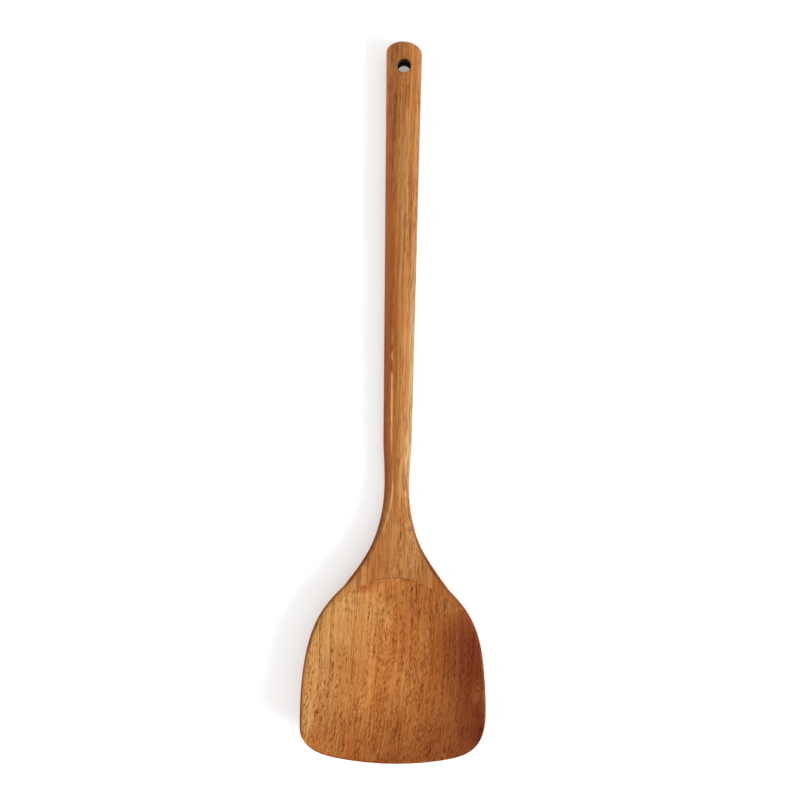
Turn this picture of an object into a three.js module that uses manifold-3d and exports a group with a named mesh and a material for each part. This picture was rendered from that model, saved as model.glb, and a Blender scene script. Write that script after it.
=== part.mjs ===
// A wooden spatula lying on its handle: a tapered handle and a dished blade, joined by a glued scarf.
// Millimetres, +Z up. +Y points to the handle's end, and the origin is the middle of the box's underside.
// A station is a distance along the tool from the handle's end.
import * as THREE from "three";
import { LoftGeometry } from "three/addons/geometries/LoftGeometry.js";
import { mergeVertices } from "three/addons/utils/BufferGeometryUtils.js";
import Module from "manifold-3d";

// Lengths along the tool, one after the other.
const HANDLE_LENGTH = 205;
const NECK_LENGTH = 24;
const FLARE_LENGTH = 47;
const SHOULDER_LENGTH = 66;
const FRONT_LENGTH = 28;

// Widths in plan, and the angle at which the flare leaves the tool's middle line.
const HANDLE_END_WIDTH = 18.3;
const HANDLE_FOOT_WIDTH = 14.7;
const NECK_WIDTH = 12.8;
const FLARE_WIDTH = 44.5;
const BLADE_WIDTH = 94.4;
const FLARE_ANGLE = 37;

// How far each curve of the outline holds its direction, as shares of the length that it covers.
const NECK_PULLS = [0.3, 0.5];
const FLARE_PULLS = [0.535, 0.19];
const SHOULDER_PULLS = [0.22, 0.75];
const CORNER_PULLS = [0.3, 0.2];

// The rounded end of the handle, and the front edge of the blade with its rounded corners.
const END_ROUNDING = 5.8;
const END_BOW_FADE = 17;
const FRONT_RADIUS = 125;
const CORNER_DEPTH = 8.8;
const CORNER_POWER = 10.5;
const CORNER_INSET = 3.2;

// Thicknesses.
const HANDLE_END_THICKNESS = 13;
const NECK_THICKNESS = 11;
const RIM_THICKNESS = 2.6;
const TIP_THICKNESS = 2.2;

// The upper face: its slope up the flare, then up the shoulders, which start past the seam.
const FLARE_SLOPE = 0.02;
const SHOULDER_SLOPE = 0.12;
const SHOULDER_RUN = 24;

// The dish: from the seam to its lowest point, its two radii, and the round at its rim.
const DISH_RUN = 41;
const DISH_LONG_RADIUS = 200;
const DISH_CROSS_RADIUS = 158;
const DISH_CREASE = 0.5;

// The underside leaves the table this far past the seam.
const HEEL_RUN = 15;

// The strips between the outline and the faces, the stretch where the handle's round top narrows to them,
// and how far its upper face falls to each side there. Further on the upper strips turn from quarter rounds
// to chamfers with an arris. ARRIS_BEND is 1 for a quarter round, 0 for a parabola, and less than 0 for a
// chamfer with a soft lower edge.
const CROWN_START = 38;
const CROWN_END = 150;
const ARRIS_START = 95;
const ARRIS_END = 165;
const TOP_STRIP = 4.2;
const UNDER_STRIP = 4;
const RIM_STRIP = 1.4;
const ARRIS_BEND = -4;
const HANDLE_CROWN = 0.9;

// Where the sections have their points: shares of a strip, and of the face between strip and middle.
const STRIP_STEPS = [0, 0.05, 0.2, 0.5, 1];
const FACE_STEPS = [0.06, 0.17, 0.33, 0.52, 0.75];
const WIDEST_STRIP_SHARE = 0.9;

// The hanging hole.
const HOLE_DIAMETER = 6.8;
const HOLE_FROM_END = 13.8;
const HOLE_SIDES = 32;

// The scarf joint: a rounded tongue on top, whose faces slope one in SCARF_RATIO.
const SEAM_DEPTH = 10.2;
const SEAM_REACH = 28;
const SEAM_STEPS = 40;
const SCARF_RATIO = 6;
const GLUE_LINE = 0.15;
const CUT_MARGIN = 12;

// Vertices closer than this are one.
const MERGE_DISTANCE = 1e-4;

// Stations and half-widths that follow from the sizes above.
const NECK = HANDLE_LENGTH + NECK_LENGTH;
const SEAM = NECK + FLARE_LENGTH;
const WIDEST = SEAM + SHOULDER_LENGTH;
const TOTAL = WIDEST + FRONT_LENGTH;
const DISH_LOW = SEAM + DISH_RUN;
const SHOULDER = SEAM + SHOULDER_RUN;
const HEEL = SEAM + HEEL_RUN;
const END_HALF = HANDLE_END_WIDTH / 2;
const FOOT_HALF = HANDLE_FOOT_WIDTH / 2;
const NECK_HALF = NECK_WIDTH / 2;
const FLARE_HALF = FLARE_WIDTH / 2;
const BLADE_HALF = BLADE_WIDTH / 2;
const CORNER_HALF = BLADE_HALF - CORNER_INSET;

const mix = (a, b, t) => a + (b - a) * t;
const ease = (from, to, station) => THREE.MathUtils.smoothstep(station, from, to);

// The front edge's station at x: a wide arc whose corners drop away with a high power of x.
function frontStation(x) {
  const corner = CORNER_DEPTH * Math.pow(Math.abs(x) / BLADE_HALF, CORNER_POWER);
  return TOTAL - (x * x) / (2 * FRONT_RADIUS) - corner;
}

// How far the row through the blade's corners bulges towards the tip at a share u of its half-width.
function frontBulge(u) {
  const low = frontStation(CORNER_HALF);
  return (frontStation(u * CORNER_HALF) - low) / (TOTAL - low);
}

// A cubic from point a in direction u to point b in direction v, holding each by its share of a length.
function sweep(a, u, b, v, length, pulls) {
  const leave = a.clone().addScaledVector(u, pulls[0] * length);
  const arrive = b.clone().addScaledVector(v, -pulls[1] * length);
  return new THREE.CubicBezierCurve(a, leave, arrive, b);
}

// The right-hand side of the plan outline as curves of (half-width, station), from the end to the corner.
// Each has its number of rows, and the power that gathers them at its start (over 1) or its end (under 1).
function sideCurves() {
  const at = (half, station) => new THREE.Vector2(half, station);
  const shoulder = at(END_HALF, END_ROUNDING);
  const foot = at(FOOT_HALF, HANDLE_LENGTH);
  const neck = at(NECK_HALF, NECK);
  const flare = at(FLARE_HALF, SEAM);
  const widest = at(BLADE_HALF, WIDEST);
  const corner = at(CORNER_HALF, frontStation(CORNER_HALF));
  const along = at(0, 1);
  const taper = foot.clone().sub(shoulder).normalize();
  const angle = THREE.MathUtils.degToRad(FLARE_ANGLE);
  const lean = at(Math.sin(angle), Math.cos(angle));
  const beside = CORNER_HALF - CORNER_INSET / 8;
  const turn = at(beside, frontStation(beside)).sub(corner).normalize();
  const end = new THREE.EllipseCurve(0, END_ROUNDING, END_HALF, END_ROUNDING, -0.3 * Math.PI, 0);
  return [
    { curve: end, rows: 6, power: 2 },
    { curve: new THREE.LineCurve(shoulder, foot), rows: 14, power: 1 },
    { curve: sweep(foot, taper, neck, along, NECK_LENGTH, NECK_PULLS), rows: 6, power: 1 },
    { curve: sweep(neck, along, flare, lean, FLARE_LENGTH, FLARE_PULLS), rows: 12, power: 1 },
    { curve: sweep(flare, lean, widest, along, SHOULDER_LENGTH, SHOULDER_PULLS), rows: 16, power: 1 },
    { curve: sweep(widest, along, corner, turn, FRONT_LENGTH, CORNER_PULLS), rows: 9, power: 0.5 },
  ];
}

// The rows of the loft: where each meets the outline, and how far its middle runs on ahead of its ends.
function loftRows() {
  const rows = [];
  for (const { curve, rows: count, power } of sideCurves()) {
    for (let i = rows.length ? 1 : 0; i <= count; i++) {
      const point = curve.getPoint(Math.pow(i / count, power));
      rows.push({ half: point.x, edge: point.y });
    }
  }
  const first = rows[0].edge;
  const last = rows[rows.length - 1].edge;
  for (const row of rows) {
    const back = first * (1 - ease(first, first + END_BOW_FADE, row.edge));
    const ahead = (TOTAL - last) * ease(SEAM, last, row.edge);
    row.bow = ahead - back;
    row.middle = row.edge + row.bow;
  }
  return rows;
}

// The flat upper face: the handle tapers to the neck, and the flare rises again to the blade's shoulders.
function flatTop(station) {
  const handle = mix(HANDLE_END_THICKNESS, NECK_THICKNESS, Math.min(1, station / NECK));
  const flare = FLARE_SLOPE * Math.max(0, station - NECK);
  return handle + flare + SHOULDER_SLOPE * Math.max(0, station - SHOULDER);
}

// The dish: a bowl with one radius along the blade and another across it, which cuts the flat at the seam.
function dish(x, station) {
  const floor = flatTop(SEAM) - (DISH_RUN * DISH_RUN) / (2 * DISH_LONG_RADIUS);
  const run = Math.max(station, NECK) - DISH_LOW;
  return floor + (run * run) / (2 * DISH_LONG_RADIUS) + (x * x) / (2 * DISH_CROSS_RADIUS);
}

// The upper face: the lower of the flat and the dish, with a small round where they meet.
function upperFace(x, station) {
  const flat = flatTop(station);
  const bowl = dish(x, station);
  const near = Math.max(DISH_CREASE - Math.abs(flat - bowl), 0) / DISH_CREASE;
  return Math.min(flat, bowl) - (near * near * DISH_CREASE) / 4;
}

// The underside's middle line: flat under the handle, then curving up to the tip.
function underMiddle(station) {
  const tip = dish(0, TOTAL) - TIP_THICKNESS;
  const run = Math.max(0, station - HEEL) / (TOTAL - HEEL);
  return tip * run * run;
}

// The underside: its rims lift with the square of x, until the blade's rim has its own thickness.
function underFace(x, station, half) {
  const fullLift = dish(BLADE_HALF, WIDEST) - RIM_THICKNESS - underMiddle(WIDEST);
  const run = Math.min(1, Math.max(0, station - NECK) / (WIDEST - NECK));
  const share = x / half;
  return underMiddle(station) + fullLift * Math.sin((run * Math.PI) / 2) * share * share;
}

// The share of full thickness at a share q of a strip: a conic that starts upright at the rim.
function strip(q, bend) {
  const share = Math.min(1, Math.max(0, q));
  return Math.sqrt((share * (2 - bend * share)) / (2 - bend));
}

// The widths of the strips, the bend of the upper one, and the fall of the upper face, at a station.
function stripsAt(station, half) {
  const round = 1 - ease(CROWN_START, CROWN_END, station);
  const blade = ease(NECK, SEAM, station);
  const fading = ease((NECK + SEAM) / 2, SEAM, station);
  const top = mix(mix(TOP_STRIP, half, round), RIM_STRIP, blade);
  const crisp = ease(ARRIS_START, ARRIS_END, station) * (1 - fading);
  const bend = mix(1, ARRIS_BEND, crisp);
  const fall = HANDLE_CROWN * (1 - round) * (1 - blade);
  return { top, bend, fall, under: mix(UNDER_STRIP, RIM_STRIP, blade) };
}

// Shares of the half-width from one rim to the other, close together in the strips and near them.
function acrossShares(reach, half) {
  const inner = Math.min(WIDEST_STRIP_SHARE, reach / half);
  const inStrip = STRIP_STEPS.map((q) => inner * q);
  const onFace = FACE_STEPS.map((t) => mix(inner, 1, t));
  const shares = [...inStrip, ...onFace].map((d) => 1 - d);
  return [...shares, 0, ...shares.map((d) => -d).reverse()];
}

// One closed section: the upper face from right to left, then the underside from left to right.
function section(row) {
  const strips = stripsAt(row.edge, row.half);
  const endStrip = strip(row.middle / UNDER_STRIP, 1);
  const tipStrip = strip((TOTAL - row.middle) / RIM_STRIP, 1);
  const broad = row.edge > WIDEST ? BLADE_HALF : row.half;
  const place = (u, side, reach, bend) => {
    const x = u * row.half;
    const bulge = row.bow < 0 ? 1 - u * u : frontBulge(u);
    const station = row.edge + row.bow * bulge;
    const upper = upperFace(x, station) - strips.fall * u * u;
    const under = underFace(x, station, broad);
    const full = strip(((1 - Math.abs(u)) * row.half) / reach, bend) * endStrip * tipStrip;
    const z = (upper + under) / 2 + (side * full * (upper - under)) / 2;
    return new THREE.Vector3(x, TOTAL / 2 - station, z);
  };
  const shares = acrossShares(strips.top, row.half);
  const back = shares.slice(1, -1).reverse();
  return [
    ...shares.map((u) => place(u, 1, strips.top, strips.bend)),
    ...back.map((u) => place(u, -1, strips.under, 1)),
  ];
}

const wasm = await Module();
wasm.setup();

// A closed geometry as a solid: vertices merged, and triangles that closed up dropped.
function toSolid(geometry) {
  const bare = new THREE.BufferGeometry();
  bare.setAttribute("position", geometry.getAttribute("position"));
  bare.setIndex(geometry.getIndex());
  const merged = mergeVertices(bare, MERGE_DISTANCE);
  const index = merged.index.array;
  const kept = [];
  for (let i = 0; i < index.length; i += 3) {
    const [a, b, c] = index.slice(i, i + 3);
    if (a !== b && b !== c && c !== a) kept.push(a, b, c);
  }
  const vertProperties = merged.attributes.position.array;
  return new wasm.Manifold(new wasm.Mesh({ numProp: 3, vertProperties, triVerts: new Uint32Array(kept) }));
}

// A solid as a geometry.
function toGeometry(solid) {
  const mesh = solid.getMesh();
  const geometry = new THREE.BufferGeometry();
  geometry.setAttribute("position", new THREE.BufferAttribute(mesh.vertProperties, 3));
  geometry.setIndex(new THREE.BufferAttribute(mesh.triVerts, 1));
  geometry.computeVertexNormals();
  return geometry;
}

// The whole carved form, with its hanging hole.
function carvedForm() {
  const body = toSolid(new LoftGeometry(loftRows().map(section)));
  const radius = HOLE_DIAMETER / 2;
  const bore = new THREE.CylinderGeometry(radius, radius, HANDLE_END_THICKNESS + 2 * CUT_MARGIN, HOLE_SIDES);
  bore.rotateX(Math.PI / 2);
  bore.translate(0, TOTAL / 2 - HOLE_FROM_END, HANDLE_END_THICKNESS / 2);
  return body.subtract(toSolid(bore));
}

// The space on the blade's side of the scarf: a plan shape with a rounded end, leaning along the tool.
function bladeSide(rise) {
  const reach = BLADE_HALF + CUT_MARGIN;
  const height = dish(BLADE_HALF, TOTAL) + HANDLE_END_THICKNESS + 2 * CUT_MARGIN;
  const far = -TOTAL / 2 - SCARF_RATIO * height;
  const plan = new THREE.Shape();
  plan.moveTo(-reach, far);
  plan.lineTo(reach, far);
  for (let i = 0; i <= SEAM_STEPS; i++) {
    const x = mix(reach, -reach, i / SEAM_STEPS);
    const drop = SEAM_DEPTH * (1 - Math.cos((Math.PI * x) / (2 * SEAM_REACH)));
    plan.lineTo(x, TOTAL / 2 - SEAM - drop);
  }
  const block = new THREE.ExtrudeGeometry(plan, { depth: height, bevelEnabled: false });
  block.translate(0, 0, -CUT_MARGIN);
  const seamHeight = flatTop(SEAM) + rise;
  const lean = new THREE.Matrix4();
  lean.set(1, 0, 0, 0, 0, 1, -SCARF_RATIO, SCARF_RATIO * seamHeight, 0, 0, 1, 0, 0, 0, 0, 1);
  return toSolid(block.applyMatrix4(lean));
}

function woodPiece(name, solid, colour) {
  const material = new THREE.MeshStandardMaterial({ color: colour, roughness: 0.45, metalness: 0 });
  const mesh = new THREE.Mesh(toGeometry(solid), material);
  mesh.name = name;
  return mesh;
}

const form = carvedForm();
const spatula = new THREE.Group();
spatula.add(woodPiece("handle", form.subtract(bladeSide(GLUE_LINE / 2)), 0xb47743));
spatula.add(woodPiece("blade", form.intersect(bladeSide(-GLUE_LINE / 2)), 0xb8753d));

export default spatula;
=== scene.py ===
"""A wooden spatula: a tapered handle and a dished blade, joined by a glued scarf, on a white studio floor.

Sizes are in millimetres until a mesh is made. A station is a distance along the tool from the handle's end.
A run is a distance along the plan outline, from the row that closes the handle's end.
"""

import bmesh
import bpy
import numpy as np
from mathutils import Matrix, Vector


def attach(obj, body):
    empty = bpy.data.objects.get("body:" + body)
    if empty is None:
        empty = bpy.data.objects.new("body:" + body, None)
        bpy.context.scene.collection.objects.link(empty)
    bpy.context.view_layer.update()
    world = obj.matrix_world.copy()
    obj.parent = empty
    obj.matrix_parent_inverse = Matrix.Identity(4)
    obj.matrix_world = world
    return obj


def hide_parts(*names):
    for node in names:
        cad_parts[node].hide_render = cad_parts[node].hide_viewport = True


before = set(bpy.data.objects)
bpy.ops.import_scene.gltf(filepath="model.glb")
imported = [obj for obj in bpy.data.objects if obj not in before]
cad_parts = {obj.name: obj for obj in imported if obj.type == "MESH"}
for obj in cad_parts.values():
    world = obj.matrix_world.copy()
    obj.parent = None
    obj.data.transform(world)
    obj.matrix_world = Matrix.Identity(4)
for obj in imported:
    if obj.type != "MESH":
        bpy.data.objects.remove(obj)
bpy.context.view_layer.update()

MM = 0.001

# Lengths along the tool, one after the other.
HANDLE_LENGTH = 205
NECK_LENGTH = 24
FLARE_LENGTH = 47
SHOULDER_LENGTH = 66
FRONT_LENGTH = 28

# Widths in plan, and the angle at which the flare leaves the middle line.
HANDLE_END_WIDTH = 18.3
HANDLE_FOOT_WIDTH = 14.7
NECK_WIDTH = 12.8
FLARE_WIDTH = 44.5
BLADE_WIDTH = 94.4
FLARE_ANGLE = 37

# How far each curve of the outline holds its direction, as shares of the length that it covers.
NECK_PULLS = (0.3, 0.5)
FLARE_PULLS = (0.535, 0.19)
SHOULDER_PULLS = (0.22, 0.75)
CORNER_PULLS = (0.3, 0.2)

# The rounded end of the handle, with its bow and a slight skew, and the front edge of the blade with its
# rounded corners, the step over which their direction is taken, and what is worn off above them.
END_ROUNDING = 5.8
END_START_ANGLE = -0.3 * np.pi
END_BOW_FADE = 17
END_SKEW = 0.05
END_SKEW_SET = 0.4
END_SKEW_FADE = 20
FRONT_RADIUS = 125
CORNER_DEPTH = 8.8
CORNER_POWER = 10.5
CORNER_INSET = 3.2
CORNER_STEP = 0.4
TIP_WEAR = 0.05

# Small unevenness of hand work in plan: the side, the station, how far it reaches and how much wood it adds.
HAND_SHAPING = [(-1, 358, 9, 0.65), (1, 356, 12, -0.85), (1, 301, 25, 0.6)]

# Thicknesses.
HANDLE_END_THICKNESS = 13
NECK_THICKNESS = 11
RIM_THICKNESS = 2.6
TIP_THICKNESS = 2.2

# The upper face, the dish in it, and where the underside leaves the table.
FLARE_SLOPE = 0.02
SHOULDER_SLOPE = 0.12
SHOULDER_RUN = 24
DISH_RUN = 41
DISH_LONG_RADIUS = 200
DISH_CROSS_RADIUS = 158
DISH_CREASE = 0.5
HEEL_RUN = 15

# The strips beside the faces, the stretch where the handle's round top narrows to them, the one where they
# turn to chamfers, the fall of the upper face to each side, and how soft the arris is on the left and on the
# more worn right.
CROWN_START = 38
CROWN_END = 150
ARRIS_START = 95
ARRIS_END = 165
TOP_STRIP = 4.2
UNDER_STRIP = 4
RIM_STRIP = 1.4
ARRIS_BEND = -4
HANDLE_CROWN = 0.9
LEFT_SOFTNESS = 0.06
RIGHT_SOFTNESS = 0.7
LEAST_SOFTNESS = 1e-4
STRIP_OVERRUN = 2
WIDEST_STRIP_SHARE = 0.9

# Marks of use and painted shade: the width of the rubbed left arris, the stations over which the rubbing
# sets in and ends, the middle, reach and depth of a lull in it, the width of the painted shade along the
# rim, and its share on the handle's left.
ARRIS_WEAR = 0.42
ARRIS_WEAR_STARTS = (136, 178)
ARRIS_WEAR_ENDS = (239, 261)
ARRIS_LULL = (217, 17)
ARRIS_LULL_DEPTH = 0.85
RIM_SHADE_WIDTH = 1.3
HANDLE_RIM_SHADE = 0.22

# The hanging hole, with its softened rims.
HOLE_DIAMETER = 6.8
HOLE_FROM_END = 13.8
HOLE_RIM = 0.35
HOLE_RIM_DEPTH = 0.9
HOLE_MARGIN = 6

# The scarf: a rounded tongue whose faces slope one in SCARF_RATIO, closed to a hairline of glue.
SEAM_DEPTH = 10.2
SEAM_REACH = 28
SCARF_RATIO = 6
GLUE_LINE = 0.03
GLUE_ENDS = (12, 24)
GLUE_FADE = 8

# How finely the surfaces are divided.
OUTLINE_POINTS = 600
STRIP_COLUMNS = 28
FACE_COLUMNS = 24
FACE_GATHER = 1.5
ROWS = 330
ROW_GATHER = 0.95
CAP_STEPS = 10
HOLE_SIDES = 96
HOLE_RINGS = 80
BISECTIONS = 48
MERGE_DISTANCE = 5e-7
HOLE_MERGE = 4e-6

# Stations and half-widths that follow from the sizes above.
NECK = HANDLE_LENGTH + NECK_LENGTH
SEAM = NECK + FLARE_LENGTH
FLARE_MIDDLE = (NECK + SEAM) / 2
WIDEST = SEAM + SHOULDER_LENGTH
TOTAL = WIDEST + FRONT_LENGTH
DISH_LOW = SEAM + DISH_RUN
SHOULDER = SEAM + SHOULDER_RUN
HEEL = SEAM + HEEL_RUN
END_HALF = HANDLE_END_WIDTH / 2
FOOT_HALF = HANDLE_FOOT_WIDTH / 2
NECK_HALF = NECK_WIDTH / 2
FLARE_HALF = FLARE_WIDTH / 2
BLADE_HALF = BLADE_WIDTH / 2
CORNER_HALF = BLADE_HALF - CORNER_INSET
HOLE_PLACE = (0, (TOTAL / 2 - HOLE_FROM_END) * MM, 0)

# The camera: straight above, a little off the middle, with the tool leaning to the right.
CAMERA_PLACE = (0.91, 0.35, 540)
CAMERA_TURN = np.radians(1.0)
CAMERA_LENS = 46.5

# The light: a broad low key from the right and the front, and an even glow from all round.
KEY_FROM = (1.73, -0.77, 1.0)
KEY_STRENGTH = 2.0
KEY_SPREAD = np.radians(24)
GLOW_STRENGTH = 0.7

# The floor: its size in metres, its own white, and the plain white that is added to it for the eye.
FLOOR_REACH = 3.0
FLOOR_DROP = 0.00005
FLOOR_WHITE = 0.9
FLOOR_LIFT = 0.33


def mix(a, b, t):
    """Straight from a at t 0 to b at t 1."""
    return a + (b - a) * t


def ease(low, high, value):
    """0 up to low and 1 from high on, with a cubic between that starts and ends level."""
    t = np.clip((value - low) / (high - low), 0, 1)
    return t * t * (3 - 2 * t)


def sweep(a, u, b, v, length, pulls, t):
    """A cubic from point a in direction u to point b in direction v, each held for its share of a length."""
    a, u, b, v = (np.array(p, float)[:, None] for p in (a, u, b, v))
    leave = a + u * pulls[0] * length
    arrive = b - v * pulls[1] * length
    s = 1 - t
    return s**3 * a + 3 * s * s * t * leave + 3 * s * t * t * arrive + t**3 * b


def front_station(x):
    """The front edge at x: a wide arc, x squared over twice its radius, cut back by a high power of x."""
    corner = CORNER_DEPTH * np.abs(x / BLADE_HALF) ** CORNER_POWER
    return TOTAL - x * x / (2 * FRONT_RADIUS) - corner


def front_bulge(u):
    """How far a row bulges to the tip at a share u of its half-width: the front edge, scaled to 0 to 1."""
    low = front_station(CORNER_HALF)
    return (front_station(u * CORNER_HALF) - low) / (TOTAL - low)


def plan_outline():
    """The right side of the plan as runs, half-widths and stations.

    An elliptical end, a straight taper, then cubics round the neck, flare, shoulder and front corner.
    The runs are the summed lengths of the chords.
    """
    t = np.linspace(0, 1, OUTLINE_POINTS)
    angle = np.radians(FLARE_ANGLE)
    along = (0, 1)
    lean = (np.sin(angle), np.cos(angle))
    taper = np.array((FOOT_HALF - END_HALF, HANDLE_LENGTH - END_ROUNDING))
    taper = taper / np.hypot(*taper)
    foot = (FOOT_HALF, HANDLE_LENGTH)
    neck = (NECK_HALF, NECK)
    flare = (FLARE_HALF, SEAM)
    widest = (BLADE_HALF, WIDEST)
    corner = np.array((CORNER_HALF, front_station(CORNER_HALF)))
    beside = CORNER_HALF - CORNER_STEP
    turn = np.array((beside, front_station(beside))) - corner
    turn = turn / np.hypot(*turn)
    round_end = END_START_ANGLE * (1 - t)
    curves = [
        np.array((END_HALF * np.cos(round_end), END_ROUNDING * (1 + np.sin(round_end)))),
        np.array((mix(END_HALF, FOOT_HALF, t), mix(END_ROUNDING, HANDLE_LENGTH, t))),
        sweep(foot, taper, neck, along, NECK_LENGTH, NECK_PULLS, t),
        sweep(neck, along, flare, lean, FLARE_LENGTH, FLARE_PULLS, t),
        sweep(flare, lean, widest, along, SHOULDER_LENGTH, SHOULDER_PULLS, t),
        sweep(widest, along, corner, turn, FRONT_LENGTH, CORNER_PULLS, t),
    ]
    points = np.concatenate([curves[0][:, :1]] + [curve[:, 1:] for curve in curves], axis=1)
    chords = np.hypot(*np.diff(points, axis=1))
    return np.concatenate(([0], np.cumsum(chords))), points[0], points[1]


OUTLINE_RUNS, OUTLINE_HALVES, OUTLINE_STATIONS = plan_outline()
FULL_RUN = OUTLINE_RUNS[-1]


def run_at(station):
    """The run at which the outline passes a station, up to the widest place."""
    sides = OUTLINE_STATIONS <= WIDEST
    return np.interp(station, OUTLINE_STATIONS[sides], OUTLINE_RUNS[sides])


def flat_top(station):
    """The flat upper face: a taper from the handle's end to the neck, a slight rise, then a steeper one."""
    handle = mix(HANDLE_END_THICKNESS, NECK_THICKNESS, np.minimum(1, station / NECK))
    flare = FLARE_SLOPE * np.maximum(0, station - NECK)
    return handle + flare + SHOULDER_SLOPE * np.maximum(0, station - SHOULDER)


def dish(x, station):
    """The bowl of the blade: two parabolas added, one along the tool and one across it."""
    floor = flat_top(SEAM) - DISH_RUN**2 / (2 * DISH_LONG_RADIUS)
    run = np.maximum(station, NECK) - DISH_LOW
    return floor + run * run / (2 * DISH_LONG_RADIUS) + x * x / (2 * DISH_CROSS_RADIUS)


def lower_of(a, b, softness):
    """The lesser of a and b, with a small parabolic round where they come within softness of each other."""
    near = np.maximum(softness - np.abs(a - b), 0) / softness
    return np.minimum(a, b) - near * near * softness / 4


def upper_face(x, station):
    """The upper face: the lower of the flat and the dish, with a small round where they meet."""
    return lower_of(flat_top(station), dish(x, station), DISH_CREASE)


def under_middle(station):
    """The underside's middle line: level under the handle, then a parabola up to the tip."""
    tip = dish(0, TOTAL) - TIP_THICKNESS
    run = np.maximum(0, station - HEEL) / (TOTAL - HEEL)
    return tip * run * run


def under_face(x, station, half):
    """The underside: its middle line, lifted with the square of x until the rim has its own thickness."""
    full_lift = dish(BLADE_HALF, WIDEST) - RIM_THICKNESS - under_middle(WIDEST)
    run = np.clip((station - NECK) / (WIDEST - NECK), 0, 1)
    return under_middle(station) + full_lift * np.sin(run * np.pi / 2) * (x / half) ** 2


def conic(q, bend):
    """The share of full thickness at a share q of a strip: a conic, upright at the rim.

    It is the root of q times (2 - bend q), scaled to reach 1: a quarter round at bend 1, a parabola at 0,
    and nearly a straight chamfer well below 0.
    """
    return np.sqrt(q * (2 - bend * q) / (2 - bend))


def quarter_round(q):
    """A quarter round over a strip, and 1 past it."""
    return conic(np.clip(q, 0, 1), 1)


def top_strip(q, bend, softness):
    """The upper strip: its conic, stopped at full thickness by an arris of some softness."""
    steep = np.maximum(softness * (1 - bend) / (1 - ARRIS_BEND), LEAST_SOFTNESS)
    onward = np.clip(q, 0, np.where(bend > 0, 1 / np.maximum(bend, LEAST_SOFTNESS), STRIP_OVERRUN))
    return lower_of(conic(onward, bend), 1, steep * np.clip(q, LEAST_SOFTNESS, 1))


def bump(value, middle, reach):
    """1 in the middle and 0 past a reach on either side: a squared parabola."""
    return np.maximum(0, 1 - ((value - middle) / reach) ** 2) ** 2


def hand_shaping(edge, side):
    """The unevenness of hand work, added to the half-width: a bump at each uneven place."""
    added = 0 * edge
    for place_side, place, reach, amount in HAND_SHAPING:
        added = added + amount * bump(edge, place, reach) * (side == place_side)
    return added


def bell(distance, width):
    """1 at no distance, falling to both sides: e to the minus square of the distance in widths."""
    return np.exp(-((distance / width) ** 2))


def arris_mark(edge, distance):
    """The rubbed arris: a bell across it that sets in along the handle, lulls once and ends in the flare."""
    worn = ease(*ARRIS_WEAR_STARTS, edge) * (1 - ease(*ARRIS_WEAR_ENDS, edge))
    worn = worn * (1 - ARRIS_LULL_DEPTH * bump(edge, *ARRIS_LULL))
    return bell(distance, ARRIS_WEAR) * worn


def rim_shade_mark(edge, distance, side):
    """Painted rim shade: a bell from the rim inwards, full along the flare and the blade's left and front.

    It is faint on the handle's left, absent on the handle's right, and fades out on the blade's right, which
    faces the lamp.
    """
    share = mix(HANDLE_RIM_SHADE * np.maximum(-side, 0), 1, ease(NECK, FLARE_MIDDLE, edge))
    return bell(distance, RIM_SHADE_WIDTH) * share * (1 - ease(SEAM, DISH_LOW, edge) * np.maximum(side, 0))


def carve(run, depth, side, face):
    """Points of the carved form, as x, station and height, with marks for the left arris and the painted rim
    shade.

    run goes along the outline. depth goes across: 0 on the rim, 1 at the inner edge of the strip and 2 on
    the middle line, on the right (side 1) or the left (side -1). face goes from the upper face (1) to the
    underside (-1). Rows bow back at the handle's end and ahead at the front. Hand shaping moves a row's
    points sideways, and the faces keep the heights of the plain outline. The height is the middle of the two
    faces, plus face times half the thickness times the curves of the strips.
    """
    plain = np.interp(run, OUTLINE_RUNS, OUTLINE_HALVES)
    edge = np.interp(run, OUTLINE_RUNS, OUTLINE_STATIONS)
    half = np.minimum(plain + hand_shaping(edge, side), BLADE_HALF)
    first = OUTLINE_STATIONS[0]
    last = OUTLINE_STATIONS[-1]
    bow = (TOTAL - last) * ease(SEAM, last, edge)
    bow = bow - first * (1 - ease(first, first + END_BOW_FADE, edge))
    middle = edge + bow
    round_part = 1 - ease(CROWN_START, CROWN_END, edge)
    blade = ease(NECK, SEAM, edge)
    top = mix(mix(TOP_STRIP, half, round_part), RIM_STRIP, blade)
    crisp = ease(ARRIS_START, ARRIS_END, edge) * (1 - ease(FLARE_MIDDLE, SEAM, edge))
    bend = mix(1, ARRIS_BEND, crisp)
    fall = HANDLE_CROWN * (1 - round_part) * (1 - blade)
    under = mix(UNDER_STRIP, RIM_STRIP, blade)
    inner = np.minimum(WIDEST_STRIP_SHARE, top / half)
    in_strip = ease(0, 1, depth)
    on_face = np.maximum(depth - 1, 0) ** FACE_GATHER
    u = 1 - (inner * in_strip + (1 - inner) * on_face)
    x = side * u * half
    station = edge + bow * np.where(bow < 0, 1 - u * u, front_bulge(u))
    station = station + END_SKEW * (x + END_SKEW_SET) * (1 - ease(0, END_SKEW_FADE, middle))
    level_x = side * u * plain
    upper = upper_face(level_x, station) - fall * u * u - TIP_WEAR * ease(WIDEST, last, edge)
    lower = under_face(level_x, station, np.where(edge > WIDEST, BLADE_HALF, plain))
    inset = (1 - u) * half
    softness = np.where(side > 0, RIGHT_SOFTNESS, LEFT_SOFTNESS)
    full = mix(quarter_round(inset / under), top_strip(inset / top, bend, softness), (face + 1) / 2)
    full = full * quarter_round(middle / UNDER_STRIP) * quarter_round((TOTAL - middle) / RIM_STRIP)
    height = (upper + lower) / 2 + face * full * (upper - lower) / 2
    arris = arris_mark(edge, inset - top) * np.maximum(face, 0) * np.maximum(-side, 0)
    # rim is the painted shade along the rim: a bell inwards from it.
    rim = rim_shade_mark(edge, np.minimum(inset, TOTAL - middle), side)
    return x, station, height, arris, rim


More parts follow.
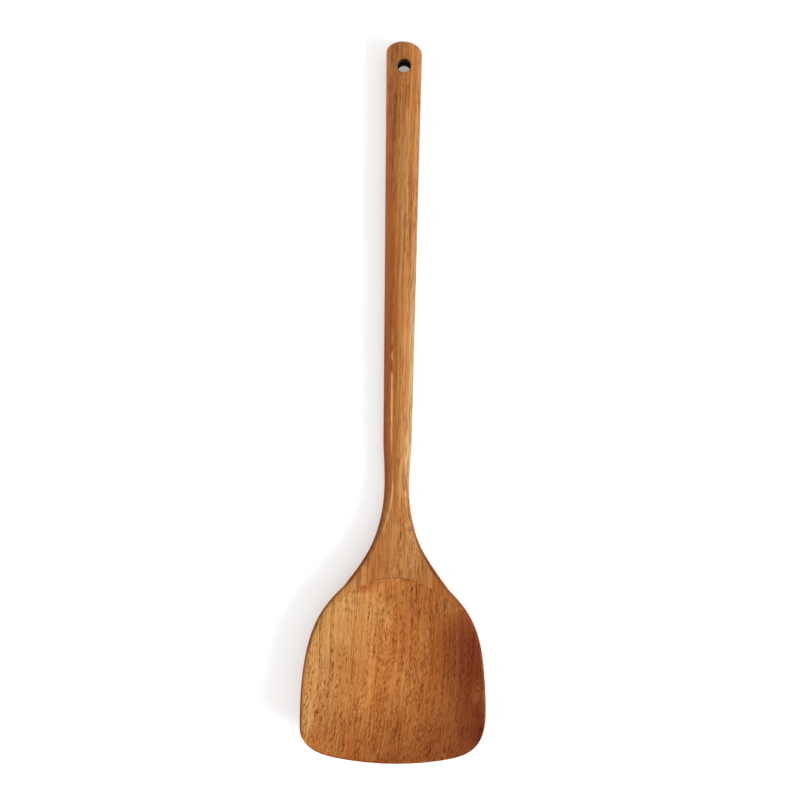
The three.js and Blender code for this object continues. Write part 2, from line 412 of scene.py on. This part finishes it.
def scarf_station(x, height, rise):
    """The scarf face: a cosine tongue in plan that leans along the tool with height."""
    tongue = SEAM_DEPTH * (1 - np.cos(np.pi * x / (2 * SEAM_REACH)))
    return SEAM + tongue + SCARF_RATIO * (height - flat_top(SEAM) - rise)


def ring_columns():
    """The columns of one ring: depth, side and face, above from right to left, then back below."""
    strip = np.linspace(0, 1, STRIP_COLUMNS + 1)
    onward = np.linspace(1, 2, FACE_COLUMNS + 1)[1:]
    right = np.concatenate((strip, onward))
    depth = np.concatenate((right, right[-2::-1]))
    side = np.where(np.arange(len(depth)) < len(right), 1.0, -1.0)
    face = np.ones(len(depth))
    back = slice(-2, 0, -1)
    return (
        np.concatenate((depth, depth[back])),
        np.concatenate((side, side[back])),
        np.concatenate((face, -face[back])),
    )


DEPTHS, SIDES, FACES = ring_columns()
COLUMNS = len(DEPTHS)
TOP_COLUMNS = COLUMNS // 2 + 1


def scarf_runs(depth, side, face, rise):
    """The runs at which lines along the tool cross the scarf face, found by halving an interval."""
    low = run_at(HANDLE_LENGTH - NECK_LENGTH) + 0 * (depth + face)
    high = run_at(DISH_LOW) + 0 * low
    for _ in range(BISECTIONS):
        half_way = (low + high) / 2
        x, station, height, *_marks = carve(half_way, depth, side, face)
        past = station > scarf_station(x, height, rise)
        high = np.where(past, half_way, high)
        low = np.where(past, low, half_way)
    return (low + high) / 2


def to_frame(x, station, height):
    """Millimetres along the tool as metres in the frame, one point a row."""
    return np.stack((x, TOTAL / 2 - station, height), axis=-1) * MM


def grid_quads(rows, columns, wrap):
    """The quads of a grid of vertices, closed round its columns if wrap is true."""
    index = np.arange(rows * columns).reshape(rows, columns)
    if wrap:
        index = np.concatenate((index, index[:, :1]), axis=1)
    corners = (index[:-1, :-1], index[:-1, 1:], index[1:, 1:], index[1:, :-1])
    return np.stack(corners, axis=-1).reshape(-1, 4)


def make_mesh(name, points, quads, flat_from, marks):
    """A closed mesh from arrays: doubles merged, faces turned outwards, and flat faces from one index on."""
    mesh = bpy.data.meshes.new(name)
    mesh.vertices.add(len(points))
    mesh.vertices.foreach_set("co", points.astype(np.float32).ravel())
    mesh.loops.add(quads.size)
    mesh.loops.foreach_set("vertex_index", quads.astype(np.int32).ravel())
    mesh.polygons.add(len(quads))
    mesh.polygons.foreach_set("loop_start", np.arange(0, quads.size, 4, dtype=np.int32))
    mesh.polygons.foreach_set("use_smooth", np.arange(len(quads)) < flat_from)
    for key, values in marks.items():
        mark = mesh.attributes.new(key, "FLOAT", "POINT")
        mark.data.foreach_set("value", values.astype(np.float32).ravel())
    mesh.update(calc_edges=True)
    work = bmesh.new()
    work.from_mesh(mesh)
    bmesh.ops.remove_doubles(work, verts=work.verts, dist=MERGE_DISTANCE)
    bmesh.ops.recalc_face_normals(work, faces=work.faces)
    work.to_mesh(mesh)
    work.free()
    piece = bpy.data.objects.new(name, mesh)
    bpy.context.collection.objects.link(piece)
    return piece


def carved_piece(name, far_run, rise):
    """One piece of wood: the carved form from the scarf face to a far run, with the scarf face as its cap.

    Rows are close together at both ends. The cap is a grid of depth across and face from above to below.
    """
    v = np.linspace(0, 1, ROWS)[:, None]
    spacing = mix(v, v * v * (3 - 2 * v), ROW_GATHER)
    near_runs = scarf_runs(DEPTHS, SIDES, FACES, rise)
    x, station, height, arris, rim = carve(mix(near_runs, far_run, spacing), DEPTHS, SIDES, FACES)
    body = to_frame(x, station, height)
    from_glue = np.abs(station - scarf_station(x, height, rise)) + GLUE_FADE * ease(*GLUE_ENDS, np.abs(x))
    cap_faces = np.linspace(1, -1, CAP_STEPS + 1)[:, None]
    across = (DEPTHS[:TOP_COLUMNS], SIDES[:TOP_COLUMNS], cap_faces)
    cap_x, cap_station, cap_height, *_marks = carve(scarf_runs(*across, rise), *across)
    cap = to_frame(cap_x, cap_station, cap_height)
    body_quads = grid_quads(ROWS, COLUMNS, True)
    cap_quads = grid_quads(CAP_STEPS + 1, TOP_COLUMNS, False) + body[..., 0].size
    points = np.concatenate((body.reshape(-1, 3), cap.reshape(-1, 3)))
    quads = np.concatenate((body_quads, cap_quads))
    bare_cap = np.zeros(cap_x.size)
    marks = {
        "from_glue": np.concatenate((from_glue.ravel(), bare_cap)),
        "arris_wear": np.concatenate((arris.ravel(), bare_cap)),
        # The mark of the painted shade along the rim.
        "rim_shade": np.concatenate((rim.ravel(), bare_cap)),
    }
    return make_mesh(name, points, quads, len(body_quads), marks)


def hole_cutter():
    """The space of the hanging hole: a profile turned round an upright axis, flared at both faces.

    The radius is the hole's own, plus a parabola over the rim's depth inside each face.
    """
    low = -HOLE_MARGIN
    high = HANDLE_END_THICKNESS + HOLE_MARGIN
    z = np.linspace(low, high, HOLE_RINGS)[:, None]
    from_face = np.minimum(z, HANDLE_END_THICKNESS - z)
    radius = HOLE_DIAMETER / 2 + HOLE_RIM * np.clip(1 - from_face / HOLE_RIM_DEPTH, 0, 1) ** 2
    angle = np.linspace(0, 2 * np.pi, HOLE_SIDES, endpoint=False)
    ends = np.zeros((1, HOLE_SIDES))
    x = np.concatenate((ends, radius * np.cos(angle), ends))
    across = np.concatenate((ends, radius * np.sin(angle), ends))
    height = np.concatenate((ends + low, z + 0 * angle, ends + high))
    points = to_frame(x, HOLE_FROM_END + across, height).reshape(-1, 3)
    quads = grid_quads(HOLE_RINGS + 2, HOLE_SIDES, True)
    return make_mesh("hole_cutter", points, quads, len(quads), {})


def cut_hole(piece):
    """Takes the hanging hole out of a piece, and clears the slivers that the cut leaves along its edges."""
    cutter = hole_cutter()
    cut = piece.modifiers.new("hanging_hole", "BOOLEAN")
    cut.operation = "DIFFERENCE"
    cut.solver = "EXACT"
    cut.object = cutter
    graph = bpy.context.evaluated_depsgraph_get()
    piece.data = bpy.data.meshes.new_from_object(piece.evaluated_get(graph))
    piece.modifiers.clear()
    bpy.data.objects.remove(cutter)
    work = bmesh.new()
    work.from_mesh(piece.data)
    bmesh.ops.remove_doubles(work, verts=work.verts, dist=HOLE_MERGE)
    bmesh.ops.triangulate(work, faces=work.faces)
    bmesh.ops.dissolve_degenerate(work, edges=work.edges, dist=HOLE_MERGE)
    bmesh.ops.triangulate(work, faces=work.faces)
    work.to_mesh(piece.data)
    work.free()


def add(tree, kind, feeds=None, **settings):
    """A node with its settings. feeds gives an input's name or number, and the socket or value for it."""
    made = tree.nodes.new(kind)
    for key, value in settings.items():
        setattr(made, key, value)
    for key, source in (feeds or {}).items():
        if isinstance(source, bpy.types.NodeSocket):
            tree.links.new(source, made.inputs[key])
        else:
            made.inputs[key].default_value = source
    return made


def calc(tree, operation, a, b=0.0):
    """Arithmetic on two sockets or numbers."""
    return add(tree, "ShaderNodeMath", {0: a, 1: b}, operation=operation).outputs[0]


def stretch(tree, vector, per_mm):
    """Coordinates in metres, scaled by cycles per millimetre along each axis."""
    scale = [cycles / MM for cycles in per_mm]
    return add(tree, "ShaderNodeMapping", {"Vector": vector, "Scale": scale}).outputs[0]


def noise(tree, vector, per_mm, detail, roughness=0.5):
    """Soft noise, stretched along the grain."""
    feeds = {"Vector": stretch(tree, vector, per_mm), "Scale": 1.0, "Detail": detail, "Roughness": roughness}
    return add(tree, "ShaderNodeTexNoise", feeds).outputs["Fac"]


def rise_between(tree, value, low, high):
    """0 below low, 1 above high and smooth between."""
    feeds = {"Value": value, "From Min": low, "From Max": high}
    return add(tree, "ShaderNodeMapRange", feeds, interpolation_type="SMOOTHSTEP").outputs[0]


def pattern(tree, vector, per_mm, span, detail=1.0, roughness=0.5):
    """Soft noise along the grain, made crisper: 0 below a span of its values, and 1 above it."""
    return rise_between(tree, noise(tree, vector, per_mm, detail, roughness), *span)


def blend(tree, share, a, b, way="MIX"):
    """Two colours, mixed or multiplied by a share."""
    feeds = {0: share, 6: a, 7: b}
    return add(tree, "ShaderNodeMix", feeds, data_type="RGBA", blend_type=way).outputs[2]


# The pattern of the wood. Each noise lies round its middle, and its span gives the values at which its mark
# starts to show and is full.
GRAIN_TILT = np.radians(20)
WANDER_PER_MM = (0.02, 0.012, 0.02)
NOISE_MIDDLE = 0.5
TONE_SPAN = (0.3, 0.7)
STREAK_SPAN = (0.45, 0.75)
STREAK_ROUGHNESS = 0.6
LINE_SPAN = (0.5, 0.68)
DASH_SPAN = (0.46, 0.66)
COLUMN_SPAN = (0.36, 0.6)
DASH_PATCH_SPAN = (0.35, 0.65)
FIBRE_SPAN = (0.25, 0.75)
PORE_PATCH_SPAN = (0.32, 0.68)
# The stain beside the glue line is partly a glue stain and partly painted shade below the crease of the
# dish.
STAIN_AND_CREASE_SHADE_SPAN = (0.4, 0.62)
RUB_SPAN = (0.32, 0.58)

# The least share of a dash outside the columns and of a pore's reach, the part of a pore that is fully dark,
# the least reach in cells, and how far the glue line is fully dark to each side.
LEAST_DASH = 0.2
LEAST_PORE = 0.2
PORE_CORE = 0.45
LEAST_REACH = 0.001
GLUE_CORE = 0.1


def grain_coordinates(tree, lean, wander):
    """Object coordinates turned to the grain and tilted round it, with a slow sideways wander along it."""
    place = add(tree, "ShaderNodeTexCoord").outputs["Object"]
    turned = add(tree, "ShaderNodeMapping", {"Vector": place, "Rotation": (0, GRAIN_TILT, lean)}).outputs[0]
    slow = noise(tree, turned, WANDER_PER_MM, 1.0)
    shift = calc(tree, "MULTIPLY", calc(tree, "SUBTRACT", slow, NOISE_MIDDLE), wander * MM)
    aside = add(tree, "ShaderNodeCombineXYZ", {"X": shift}).outputs[0]
    return place, add(tree, "ShaderNodeVectorMath", {0: turned, 1: aside}, operation="ADD").outputs[0]


def soft_area(tree, place, area):
    """1 in the middle of an ellipse in plan, falling to 0 at its edge. area is its middle and reaches."""
    x, y, reach_x, reach_y = area
    feeds = {
        "Vector": place,
        "Location": (-x / reach_x, -y / reach_y, 0),
        "Scale": (1 / (reach_x * MM), 1 / (reach_y * MM), 0),
    }
    spot = add(tree, "ShaderNodeMapping", feeds).outputs[0]
    away = add(tree, "ShaderNodeVectorMath", {0: spot}, operation="LENGTH").outputs["Value"]
    return calc(tree, "SUBTRACT", 1.0, rise_between(tree, away, 0.0, 1.0))


def at_least(tree, share, least):
    """A share from 0 to 1, raised evenly so that it starts at a least value."""
    return calc(tree, "ADD", calc(tree, "MULTIPLY", share, 1 - least), least)


def in_areas(tree, place, areas, patch, patch_share, least):
    """A density: a least value, a share more in patches, and more or less in each of a few soft areas."""
    density = calc(tree, "ADD", calc(tree, "MULTIPLY", patch, patch_share), least)
    for area, more in areas:
        density = calc(tree, "ADD", density, calc(tree, "MULTIPLY", soft_area(tree, place, area), more))
    return density


def pore_dashes(tree, wood, place, grain):
    """Open pores: one dash to each cell of a stretched cell pattern, of uneven size, thicker in patches."""
    cells = {"Vector": stretch(tree, grain, wood["pore_per_mm"]), "Scale": 1.0}
    cell = add(tree, "ShaderNodeTexVoronoi", cells, voronoi_dimensions="2D").outputs
    chance = add(tree, "ShaderNodeSeparateColor", {"Color": cell["Color"]}).outputs[0]
    patch = pattern(tree, grain, wood["patch_per_mm"], PORE_PATCH_SPAN)
    thick = in_areas(tree, place, wood["pore_areas"], patch, wood["pore_patch"], wood["pore_least"])
    uneven = at_least(tree, chance, LEAST_PORE)
    reach = calc(tree, "MULTIPLY", calc(tree, "MAXIMUM", thick, LEAST_REACH), uneven)
    inside = calc(tree, "MULTIPLY", reach, PORE_CORE)
    return calc(tree, "SUBTRACT", 1.0, rise_between(tree, cell["Distance"], inside, reach))


def grain_dashes(tree, wood, place, grain):
    """Short dark dashes along the grain: noise above a level, gathered in columns, patches and areas."""
    lean_feeds = {"Vector": grain, "Rotation": (0, 0, wood["dash_lean"])}
    leaning = add(tree, "ShaderNodeMapping", lean_feeds).outputs[0]
    dash = pattern(tree, leaning, wood["dash_per_mm"], DASH_SPAN)
    column = pattern(tree, grain, wood["column_per_mm"], COLUMN_SPAN)
    patch = pattern(tree, grain, wood["patch_per_mm"], DASH_PATCH_SPAN)
    share = in_areas(tree, place, wood["dash_areas"], patch, wood["dash_patch"], wood["dash_least"])
    share = calc(tree, "MULTIPLY", share, at_least(tree, column, LEAST_DASH))
    return calc(tree, "MULTIPLY", dash, calc(tree, "MINIMUM", share, 1.0))


def wood_colour(tree, wood, place, grain, pore):
    """The colour of the wood: broad tones, soft areas that hold painted light and shade too, streaks, fine
    lines, dashes, fibre and pores.
    """
    tone = pattern(tree, grain, wood["tone_per_mm"], TONE_SPAN, 2.0)
    colour = blend(tree, tone, wood["light"], wood["middle"])
    for area, tint, share in wood["areas"]:
        spot = calc(tree, "MULTIPLY", soft_area(tree, place, area), share)
        colour = blend(tree, spot, colour, tint)
    streak = pattern(tree, grain, wood["streak_per_mm"], STREAK_SPAN, 3.0, STREAK_ROUGHNESS)
    colour = blend(tree, calc(tree, "MULTIPLY", streak, wood["streak_share"]), colour, wood["streak"])
    line = pattern(tree, grain, wood["line_per_mm"], LINE_SPAN, 2.0)
    colour = blend(tree, calc(tree, "MULTIPLY", line, wood["line_share"]), colour, wood["shade"], "MULTIPLY")
    colour = blend(tree, grain_dashes(tree, wood, place, grain), colour, wood["shade"], "MULTIPLY")
    fibre = pattern(tree, grain, wood["fibre_per_mm"], FIBRE_SPAN, 2.0)
    fibre_shade = blend(tree, fibre, wood["fibre_dark"], wood["fibre_light"])
    colour = blend(tree, 1.0, colour, fibre_shade, "MULTIPLY")
    return blend(tree, calc(tree, "MULTIPLY", pore, wood["pore_share"]), colour, wood["pore"])


def joint_marks(tree, wood, grain, colour):
    """The glue line, the stain and painted crease shade beside it, the painted rim shade and the arris
    rubbed lighter.
    """
    away = add(tree, "ShaderNodeAttribute", attribute_name="from_glue").outputs["Fac"]
    # The stain beside the glue line: partly a glue stain and partly painted shade below the crease of the
    # dish.
    uneven = pattern(tree, grain, wood["stain_and_crease_shade_per_mm"], STAIN_AND_CREASE_SHADE_SPAN, 2.0)
    stain_and_crease_shade = calc(tree, "SUBTRACT", 1.0, rise_between(tree, away, 0.0, wood["stain_and_crease_shade_width"]))
    stain_and_crease_shade = calc(tree, "MULTIPLY", calc(tree, "MULTIPLY", stain_and_crease_shade, uneven), wood["stain_and_crease_shade_share"])
    colour = blend(tree, stain_and_crease_shade, colour, wood["stain_and_crease_shade"])
    line = calc(tree, "SUBTRACT", 1.0, rise_between(tree, away, GLUE_CORE, wood["glue_width"]))
    colour = blend(tree, calc(tree, "MULTIPLY", line, wood["glue_share"]), colour, wood["pore"])
    # Painted shade along the rim.
    rim = add(tree, "ShaderNodeAttribute", attribute_name="rim_shade").outputs["Fac"]
    colour = blend(tree, calc(tree, "MULTIPLY", rim, wood["rim_shade_share"]), colour, wood["rim"])
    broken = pattern(tree, grain, wood["rub_per_mm"], RUB_SPAN, 2.0)
    rubbed = add(tree, "ShaderNodeAttribute", attribute_name="arris_wear").outputs["Fac"]
    rubbed = calc(tree, "MULTIPLY", rubbed, broken)
    return blend(tree, calc(tree, "MULTIPLY", rubbed, wood["rubbed_share"]), colour, wood["rubbed"])


def hole_wall(tree, place):
    """1 within the hanging hole and 0 past its rim, by the distance from its upright axis."""
    aside = add(tree, "ShaderNodeVectorMath", {0: place, 1: HOLE_PLACE}, operation="SUBTRACT").outputs[0]
    level = add(tree, "ShaderNodeVectorMath", {0: aside, 1: (1, 1, 0)}, operation="MULTIPLY").outputs[0]
    from_axis = add(tree, "ShaderNodeVectorMath", {0: level}, operation="LENGTH").outputs["Value"]
    rim = (HOLE_DIAMETER / 2 + HOLE_RIM / 2) * MM
    return calc(tree, "SUBTRACT", 1.0, rise_between(tree, from_axis, HOLE_DIAMETER / 2 * MM, rim))


def wood_finish(name, wood):
    """An oiled hardwood: its pattern along the grain, a satin gloss, and pores that dent the surface."""
    material = bpy.data.materials.new(name)
    material.use_nodes = True
    tree = material.node_tree
    shader = tree.nodes["Principled BSDF"]
    place, grain = grain_coordinates(tree, wood["lean"], wood["wander"])
    pore = pore_dashes(tree, wood, place, grain)
    colour = wood_colour(tree, wood, place, grain, pore)
    colour = joint_marks(tree, wood, grain, colour)
    in_hole = hole_wall(tree, place)
    colour = blend(tree, in_hole, colour, wood["hole"])
    roughness = calc(tree, "ADD", wood["satin"], calc(tree, "MULTIPLY", pore, wood["pore_dullness"]))
    roughness = calc(tree, "MAXIMUM", roughness, in_hole)
    dent_feeds = {"Strength": wood["bump"], "Distance": wood["pore_depth"] * MM, "Height": pore}
    dents = add(tree, "ShaderNodeBump", dent_feeds, invert=True)
    shader.inputs["Specular IOR Level"].default_value = wood["shine"]
    tree.links.new(colour, shader.inputs["Base Color"])
    tree.links.new(roughness, shader.inputs["Roughness"])
    tree.links.new(dents.outputs[0], shader.inputs["Normal"])
    return material


# The finishes: noise in cycles a millimetre across the grain, along it and through it, sizes in millimetres,
# and soft areas as (middle x, middle y, reach x, reach y), with their tint and its share, or with what they
# add to the density of dashes or pores.
HANDLE_WOOD = {
    "lean": np.radians(0.6),
    "wander": 4.0,
    "tone_per_mm": (0.25, 0.004, 0.25),
    "light": (0.63, 0.295, 0.082, 1),
    "middle": (0.43, 0.16, 0.035, 1),
    "areas": [
        ((-9, 25, 11, 225), (0.45, 0.07, 0.004, 1), 0.86),  # the red left side
        ((12, 70, 11, 170), (0.35, 0.175, 0.052, 1), 0.8),  # the brown right side
        ((9.6, 5, 6.6, 120), (0.64, 0.51, 0.25, 1), 0.9),  # painted sheen on the right edge, which faces the lamp, low down
        ((9.8, 106, 3.4, 56), (0.62, 0.46, 0.23, 1), 0.75),  # painted sheen on the right edge, higher up
        ((5, -32, 3.4, 24), (0.74, 0.58, 0.3, 1), 0.45),  # painted sheen above the neck, on the right
        ((1.6, 172.6, 4.6, 5.4), (0.30, 0.06, 0.012, 1), 0.55),  # the scorched wood at the hole
        ((-3, 32, 4.8, 50), (0.30, 0.06, 0.006, 1), 0.62),  # painted shade on the left chamfer, beside the arris
        ((-2, 146, 2.4, 17), (0.36, 0.11, 0.022, 1), 0.5),  # a dark band below the hole
        ((2.2, 143, 2.4, 20), (0.57, 0.3, 0.12, 1), 0.5),  # a pale band beside it
        ((1, 30, 5, 120), (0.64, 0.32, 0.09, 1), 0.4),  # the warm middle
        ((1, 172, 14, 40), (0.42, 0.145, 0.036, 1), 0.5),  # the browner end
        ((-9, 150, 6, 60), (0.72, 0.27, 0.075, 1), 0.6),  # the orange left edge near the end
        ((-5.5, 100, 4, 75), (0.5, 0.14, 0.022, 1), 0.5),  # a red band on the left
        ((1.8, 98, 3.8, 64), (0.55, 0.32, 0.125, 1), 0.65),  # a long pale band
        ((4.9, 76, 1.6, 88), (0.36, 0.1, 0.014, 1), 0.7),  # a long dark line on the right
        ((0, -74, 30, 40), (0.60, 0.275, 0.078, 1), 0.65),  # the even flare
        ((-32, -104, 26, 40), (0.62, 0.28, 0.075, 1), 0.8),  # the light tongue, left
        ((27, -99, 21, 26), (0.42, 0.135, 0.024, 1), 0.85),  # the dark tongue, right
    ],
    "streak_per_mm": (1.0, 0.006, 1.0),
    "streak": (0.25, 0.042, 0.004, 1),
    "streak_share": 0.7,
    "line_per_mm": (1.9, 0.016, 1.9),
    "line_share": 0.3,
    "shade": (0.5, 0.28, 0.16, 1),
    "dash_lean": 0.0,
    "dash_per_mm": (1.7, 0.14, 0.6),
    "column_per_mm": (0.5, 0.008, 0.3),
    "dash_patch": 0.3,
    "dash_least": 0.35,
    "dash_areas": [((0, 165, 12, 50), 0.35), ((4, -74, 34, 46), 0.35)],
    "fibre_per_mm": (4.0, 0.07, 4.0),
    "fibre_dark": (0.91, 0.85, 0.6, 1),
    "fibre_light": (1.09, 1.15, 1.45, 1),
    "patch_per_mm": (0.1, 0.014, 0.1),
    "pore_per_mm": (1.7, 0.42, 1.7),
    "pore_least": -0.12,
    "pore_patch": 0.3,
    "pore_areas": [((0, 166, 8, 36), 0.28), ((6, -72, 34, 46), 0.15)],
    "pore": (0.16, 0.035, 0.004, 1),
    "pore_share": 0.75,
    "pore_dullness": 0.25,
    "pore_depth": 0.15,
    # The stain beside the glue line: partly glue and partly painted shade below the dish's crease.
    "stain_and_crease_shade_per_mm": (0.12, 0.12, 0.12),
    "stain_and_crease_shade_width": 3.0,
    "stain_and_crease_shade": (0.30, 0.07, 0.01, 1),
    "stain_and_crease_shade_share": 0.3,
    "glue_width": 0.5,
    "glue_share": 0.3,
    # The painted rim shade: its colour and share.
    "rim": (0.22, 0.045, 0.006, 1),
    "rim_shade_share": 0.8,
    "rubbed": (0.95, 0.56, 0.2, 1),
    "rubbed_share": 1.0,
    "rub_per_mm": (0.3, 0.14, 0.3),
    "hole": (0.085, 0.05, 0.034, 1),
    "satin": 0.45,
    "shine": 0.14,
    "bump": 0.5,
}

BLADE_WOOD = {
    **HANDLE_WOOD,
    "lean": np.radians(3.0),
    "wander": 7.0,
    "tone_per_mm": (0.09, 0.007, 0.09),
    "light": (0.70, 0.30, 0.074, 1),
    "middle": (0.58, 0.2, 0.039, 1),
    "areas": [
        ((-44, -116, 40, 80), (0.63, 0.345, 0.108, 1), 0.8),  # the golden left side
        ((-30, -166, 22, 26), (0.44, 0.155, 0.03, 1), 0.45),  # the browner left corner
        ((10, -196, 80, 54), (0.30, 0.062, 0.007, 1), 0.8),  # the dark front
        ((30, -132, 28, 60), (0.44, 0.08, 0.005, 1), 0.42),  # the red right half: wood tone, darkened as painted shade on the dish's right slope
        ((40, -122, 26, 34), (0.22, 0.038, 0.003, 1), 0.5),  # the dark right shoulder: darker wood, and painted shade on the dish's right slope
        ((54, -148, 50, 108), (0.18, 0.018, 0.001, 1), 0.98),  # the darkest wood along the right side, partly painted shade in the dish
        ((42, -168, 7, 10), (0.16, 0.02, 0.001, 1), 0.5),  # a dark place in the right corner
        ((49, -144, 5, 54), (0.36, 0.14, 0.03, 1), 0.6),  # painted light on the right rim, which faces the lamp
        ((46, -129, 5, 24), (0.34, 0.12, 0.024, 1), 0.4),  # painted light on the right shoulder's rim, which faces the lamp
        ((43.5, -149, 5, 11), (0.45, 0.155, 0.04, 1), 0.6),  # a painted highlight by the right rim
        ((12, -102, 28, 20), (0.43, 0.14, 0.024, 1), 0.7),  # the dark root
        ((-16, -96, 11, 4), (0.46, 0.095, 0.012, 1), 0.8),  # a red stain under the glue line
        ((26, -104, 8, 8), (0.56, 0.27, 0.095, 1), 0.45),  # a painted highlight at the root, right of the middle
        ((-25, -104, 18, 12), (0.68, 0.39, 0.125, 1), 0.5),  # the pale root, left
        ((-7, -110, 9, 13), (0.68, 0.35, 0.1, 1), 0.5),  # a pale place below the stain
        ((-22, -138, 13, 24), (0.48, 0.15, 0.025, 1), 0.35),  # a brown place left of the middle
        ((-43, -160, 5, 14), (0.68, 0.44, 0.16, 1), 0.6),  # a pale place in the left corner
        ((-49, -158, 5, 34), (0.33, 0.1, 0.018, 1), 0.8),  # painted shade on the blade's left rim
        ((4, -143, 9, 18), (0.68, 0.3, 0.08, 1), 0.4),  # the lighter middle
    ],
    "streak_per_mm": (0.8, 0.012, 0.3),
    "streak_share": 0.4,
    "line_per_mm": (1.7, 0.014, 0.4),
    "line_share": 0.6,
    "shade": (0.43, 0.24, 0.04, 1),
    "dash_lean": np.radians(7.0),
    "dash_per_mm": (3.0, 0.36, 0.5),
    "column_per_mm": (0.5, 0.012, 0.2),
    "dash_patch": 0.5,
    "dash_least": 0.95,
    "dash_areas": [
        ((-10, -130, 16, 26), 0.15),
        ((-34, -164, 18, 26), 0.2),
        ((22, -154, 18, 26), 0.15),
        ((6, -176, 40, 14), 0.35),
        ((-28, -116, 22, 28), -0.45),
        ((22, -114, 24, 26), -0.35),
    ],
    "fibre_dark": (0.86, 0.78, 0.4, 1),
    "fibre_light": (1.14, 1.22, 1.7, 1),
    "patch_per_mm": (0.07, 0.03, 0.07),
    "pore_per_mm": (1.5, 0.5, 1.5),
    "pore_share": 0.45,
    "pore_least": -0.1,
    "pore_patch": 0.22,
    "pore_areas": [
        ((-10, -130, 16, 26), 0.15),
        ((-34, -164, 18, 26), 0.25),
        ((22, -154, 18, 26), 0.15),
        ((4, -171, 44, 20), 0.36),
    ],
    # Wider and stronger on the blade, where the painted shade below the crease falls.
    "stain_and_crease_shade_width": 7.0,
    "stain_and_crease_shade_share": 0.7,
}


def set_camera():
    """The camera at its place, looking straight down."""
    data = bpy.data.cameras.new("camera")
    data.lens = CAMERA_LENS
    camera = bpy.data.objects.new("camera", data)
    camera.location = [side * MM for side in CAMERA_PLACE]
    camera.rotation_euler = (0, 0, CAMERA_TURN)
    bpy.context.collection.objects.link(camera)
    bpy.context.scene.camera = camera


def seen_directly(tree):
    """1 where the camera, a mirror-like surface or a clear one looks, and 0 for light that bounces."""
    path = add(tree, "ShaderNodeLightPath").outputs
    plain = calc(tree, "MAXIMUM", path["Is Camera Ray"], path["Is Glossy Ray"])
    return calc(tree, "MAXIMUM", plain, path["Is Transmission Ray"])


def set_light():
    """The low key, and a world that glows evenly on the wood and is plain white to look at."""
    data = bpy.data.lights.new("key", "SUN")
    data.energy = KEY_STRENGTH
    data.angle = KEY_SPREAD
    key = bpy.data.objects.new("key", data)
    key.rotation_mode = "QUATERNION"
    key.rotation_quaternion = Vector(KEY_FROM).to_track_quat("Z", "Y")
    bpy.context.collection.objects.link(key)
    world = bpy.data.worlds.new("studio")
    world.use_nodes = True
    bpy.context.scene.world = world
    tree = world.node_tree
    glow = calc(tree, "MULTIPLY", seen_directly(tree), 1 - GLOW_STRENGTH)
    strength = calc(tree, "ADD", glow, GLOW_STRENGTH)
    tree.links.new(strength, tree.nodes["Background"].inputs["Strength"])
    tree.nodes["Background"].inputs["Color"].default_value = (1, 1, 1, 1)


def set_floor():
    """A wide level floor: white paint that takes the shadow, lifted a little for the eye."""
    corner = np.array((-FLOOR_REACH, FLOOR_REACH))
    x, y = np.meshgrid(corner, corner)
    points = np.stack((x, y, np.full_like(x, -FLOOR_DROP)), axis=-1).reshape(-1, 3)
    mesh = bpy.data.meshes.new("floor")
    mesh.from_pydata(points.tolist(), [], [(0, 1, 3, 2)])
    floor = bpy.data.objects.new("floor", mesh)
    bpy.context.collection.objects.link(floor)
    material = bpy.data.materials.new("floor_white")
    material.use_nodes = True
    tree = material.node_tree
    tree.nodes.remove(tree.nodes["Principled BSDF"])
    paint = add(tree, "ShaderNodeBsdfDiffuse", {"Color": (FLOOR_WHITE, FLOOR_WHITE, FLOOR_WHITE, 1)})
    lift = calc(tree, "MULTIPLY", seen_directly(tree), FLOOR_LIFT)
    glow = add(tree, "ShaderNodeEmission", {"Strength": lift})
    both = add(tree, "ShaderNodeAddShader", {0: paint.outputs[0], 1: glow.outputs[0]})
    tree.links.new(both.outputs[0], tree.nodes["Material Output"].inputs["Surface"])
    mesh.materials.append(material)


def build_spatula():
    """Both pieces of wood, each in place of its CAD node."""
    handle = carved_piece("carved_handle", 0, GLUE_LINE / 2)
    cut_hole(handle)
    handle.data.materials.clear()
    handle.data.materials.append(wood_finish("handle_wood", HANDLE_WOOD))
    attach(handle, "root")
    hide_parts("handle")
    blade = carved_piece("carved_blade", FULL_RUN, -GLUE_LINE / 2)
    blade.data.materials.append(wood_finish("blade_wood", BLADE_WOOD))
    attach(blade, "root")
    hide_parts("blade")


bpy.context.scene.view_settings.view_transform = "Standard"
set_camera()
set_light()
set_floor()
build_spatula()
